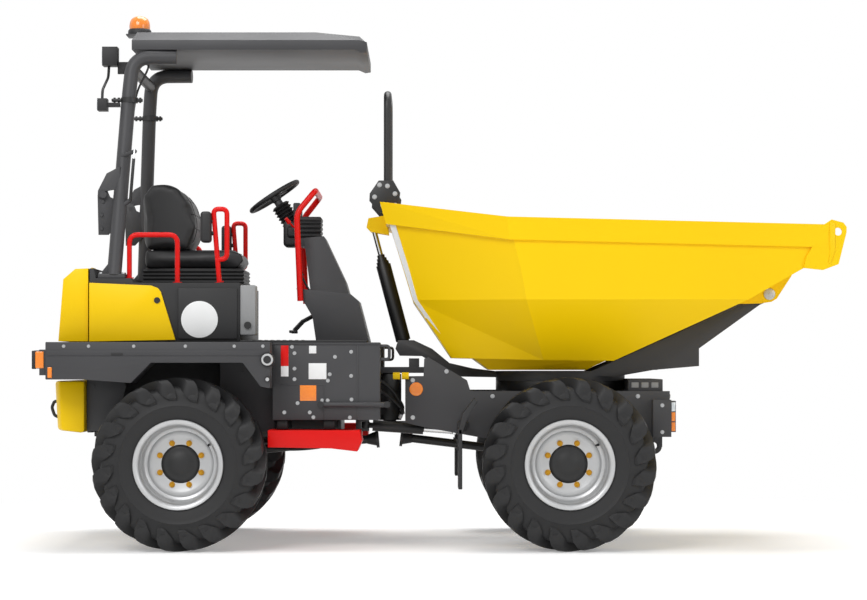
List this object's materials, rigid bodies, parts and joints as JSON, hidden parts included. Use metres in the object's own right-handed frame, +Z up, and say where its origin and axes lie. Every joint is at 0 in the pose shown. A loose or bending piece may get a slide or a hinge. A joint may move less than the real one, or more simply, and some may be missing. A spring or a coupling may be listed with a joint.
{
  "type": "articulated site dumper",
  "caption": "Articulated four-wheel site dumper with a swivelling front-tipping skip, open operator station, folding roll bar with canopy and tip ram.",
  "frame": {"origin": "on the ground, under the middle of the whole machine", "axes": "+X forward towards the skip, +Y to the operator's left, +Z up"},
  "size_m": [4.439, 1.976, 3.0013],
  "materials": {
    "dark_grey_paint": "satin",
    "black_paint": "satin",
    "engine_grey": "rough",
    "yellow_paint": "gloss",
    "light_grey_plastic": "matte",
    "black_plastic": "matte",
    "red_paint": "gloss",
    "seat_vinyl": "matte",
    "amber_plastic": "gloss",
    "bright_rod": "polished",
    "tyre": "matte",
    "silver_rim": "satin"
  },
  "bodies": {
    "rear_frame": {"rear_chassis": "black_paint", "rear_axle": "black_paint", "engine_block": "engine_grey", "rear_bumper": "dark_grey_paint", "counterweight": "yellow_paint", "engine_cover": "black_paint", "document_box": "light_grey_plastic", "operator_deck": "black_plastic", "console": "dark_grey_paint", "console_hoop": "red_paint", "seat_base": "black_paint", "seat_cushion": "seat_vinyl", "seat_backrest": "seat_vinyl", "wing_right": "dark_grey_paint", "wing_left": "dark_grey_paint", "side_panel_right": "yellow_paint", "side_panel_left": "yellow_paint", "tank_box_right": "dark_grey_paint", "tank_box_left": "dark_grey_paint", "handrail_right": "red_paint", "handrail_left": "red_paint", "mirror_rail_right": "red_paint", "mirror_rail_left": "red_paint", "rops_leg_right": "dark_grey_paint", "rops_leg_left": "dark_grey_paint", "step_right": "red_paint", "step_left": "red_paint"},
    "engine_hood": {"rear_hood": "yellow_paint"},
    "steering_column_wheel": {"steering_wheel": "black_plastic"},
    "roll_bar": {"rops_hoop": "dark_grey_paint", "canopy": "dark_grey_paint", "beacon": "amber_plastic", "work_lights": "black_plastic"},
    "strut_cylinder": {"gas_strut_tube": "black_paint"},
    "strut_piston": {"gas_strut_rod": "bright_rod"},
    "yoke": {"centre_yoke": "black_paint"},
    "steer_ram": {"steering_barrel": "black_paint"},
    "steer_piston": {"steering_rod": "bright_rod"},
    "front_frame": {"front_chassis": "dark_grey_paint", "front_axle": "black_paint", "turntable_ring": "black_paint", "mudguard_right": "dark_grey_paint", "mudguard_left": "dark_grey_paint"},
    "swivel_frame": {"swivel_console": "dark_grey_paint"},
    "tip_ram": {"tip_barrel": "black_paint"},
    "tip_tube_1": {"tip_stage_1": "bright_rod"},
    "tip_tube_2": {"tip_stage_2": "bright_rod"},
    "tip_tube_3": {"tip_stage_3": "bright_rod"},
    "tip_piston": {"tip_rod": "bright_rod"},
    "skip_body": {"skip": "yellow_paint"},
    "guard": {"guard_hoop": "black_paint"},
    "rear_wheel_right": {"rear_tyre_right": "tyre", "rear_rim_right": "silver_rim"},
    "rear_wheel_left": {"rear_tyre_left": "tyre", "rear_rim_left": "silver_rim"},
    "front_wheel_right": {"front_tyre_right": "tyre", "front_rim_right": "silver_rim"},
    "front_wheel_left": {"front_tyre_left": "tyre", "front_rim_left": "silver_rim"}
  },
  "joints": [
    {"name": "frame_oscillation", "type": "hinge", "parent": "rear_frame", "child": "yoke", "pos_m": [-0.287, 0, 0.83], "axis": [1, 0, 0], "range_deg": [-15, 15]},
    {"name": "frame_steering", "type": "hinge", "parent": "yoke", "child": "front_frame", "pos_m": [-0.287, 0, 0.83], "axis": [0, 0, 1], "range_deg": [-27, 27]},
    {"name": "steer_ram_swing", "type": "hinge", "parent": "yoke", "child": "steer_ram", "pos_m": [-0.42, -0.25, 0.674], "axis": [0, 0, 1], "range_deg": [-21.43, 21.43]},
    {"name": "steer_ram_slide", "type": "slide", "parent": "steer_ram", "child": "steer_piston", "axis": [0.9977, 0, -0.0685], "range_m": [-0.1189, 0.1189]},
    {"name": "skip_swivel", "type": "hinge", "parent": "front_frame", "child": "swivel_frame", "pos_m": [0.705, 0, 0.925], "axis": [0, 0, -1], "range_deg": [-90, 90]},
    {"name": "skip_tip", "type": "hinge", "parent": "swivel_frame", "child": "skip_body", "pos_m": [1.87, 0, 1.418], "axis": [0, 1, 0], "range_deg": [0, 44]},
    {"name": "tip_ram_swing", "type": "hinge", "parent": "swivel_frame", "child": "tip_ram", "pos_m": [-0.196, 0, 1.115], "axis": [0, 1, 0], "range_deg": [0, 33.99]},
    {"name": "tip_ram_stage_1", "type": "slide", "parent": "tip_ram", "child": "tip_tube_1", "axis": [-0.2568, 0, 0.9665], "range_m": [0, 0.3875]},
    {"name": "tip_ram_stage_2", "type": "slide", "parent": "tip_tube_1", "child": "tip_tube_2", "axis": [-0.2568, 0, 0.9665], "range_m": [0, 0.3875]},
    {"name": "tip_ram_stage_3", "type": "slide", "parent": "tip_tube_2", "child": "tip_tube_3", "axis": [-0.2568, 0, 0.9665], "range_m": [0, 0.3875]},
    {"name": "tip_ram_stage_4", "type": "slide", "parent": "tip_tube_3", "child": "tip_piston", "axis": [-0.2568, 0, 0.9665], "range_m": [0, 0.3875]},
    {"name": "guard_fold", "type": "hinge", "parent": "skip_body", "child": "guard", "pos_m": [-0.295, 0, 2.034], "axis": [0, 1, 0], "range_deg": [0, 85]},
    {"name": "roll_bar_fold", "type": "hinge", "parent": "rear_frame", "child": "roll_bar", "pos_m": [-1.868, 0, 1.963], "axis": [0, -1, 0], "range_deg": [0, 140]},
    {"name": "gas_strut_swing", "type": "hinge", "parent": "rear_frame", "child": "strut_cylinder", "pos_m": [-1.712, -0.674, 1.935], "axis": [0, -1, 0], "range_deg": [0, 100.64]},
    {"name": "gas_strut_slide", "type": "slide", "parent": "strut_cylinder", "child": "strut_piston", "axis": [0.0812, 0, 0.9967], "range_m": [0, 0.1801]},
    {"name": "hood_lift", "type": "hinge", "parent": "rear_frame", "child": "engine_hood", "pos_m": [-1.935, 0, 1.553], "axis": [0, -1, 0], "range_deg": [-60, 0]},
    {"name": "steering_wheel_turn", "type": "hinge", "parent": "rear_frame", "child": "steering_column_wheel", "pos_m": [-0.957, 0, 1.996], "axis": [-0.5417, 0, 0.8406], "continuous": true},
    {"name": "rear_wheel_right_spin", "type": "hinge", "parent": "rear_frame", "child": "rear_wheel_right", "pos_m": [-1.42, 0, 0.474], "axis": [0, 1, 0], "continuous": true},
    {"name": "rear_wheel_left_spin", "type": "hinge", "parent": "rear_frame", "child": "rear_wheel_left", "pos_m": [-1.42, 0, 0.474], "axis": [0, 1, 0], "continuous": true},
    {"name": "front_wheel_right_spin", "type": "hinge", "parent": "front_frame", "child": "front_wheel_right", "pos_m": [0.705, 0, 0.474], "axis": [0, 1, 0], "continuous": true},
    {"name": "front_wheel_left_spin", "type": "hinge", "parent": "front_frame", "child": "front_wheel_left", "pos_m": [0.705, 0, 0.474], "axis": [0, 1, 0], "continuous": true}
  ],
  "couplings": [
    {"joint": "steer_ram_swing", "follows": "frame_steering", "ratio": 0.75657},
    {"joint": "steer_ram_slide", "follows": "frame_steering", "m_per_rad": 0.24598},
    {"joint": "tip_ram_swing", "follows": "skip_tip", "ratio": 0.76108},
    {"joint": "tip_ram_stage_1", "follows": "skip_tip", "m_per_rad": 0.50335},
    {"joint": "tip_ram_stage_2", "follows": "skip_tip", "m_per_rad": 0.50335},
    {"joint": "tip_ram_stage_3", "follows": "skip_tip", "m_per_rad": 0.50335},
    {"joint": "tip_ram_stage_4", "follows": "skip_tip", "m_per_rad": 0.50335},
    {"joint": "gas_strut_swing", "follows": "roll_bar_fold", "ratio": 0.71527},
    {"joint": "gas_strut_slide", "follows": "roll_bar_fold", "m_per_rad": 0.07329}
  ]
}
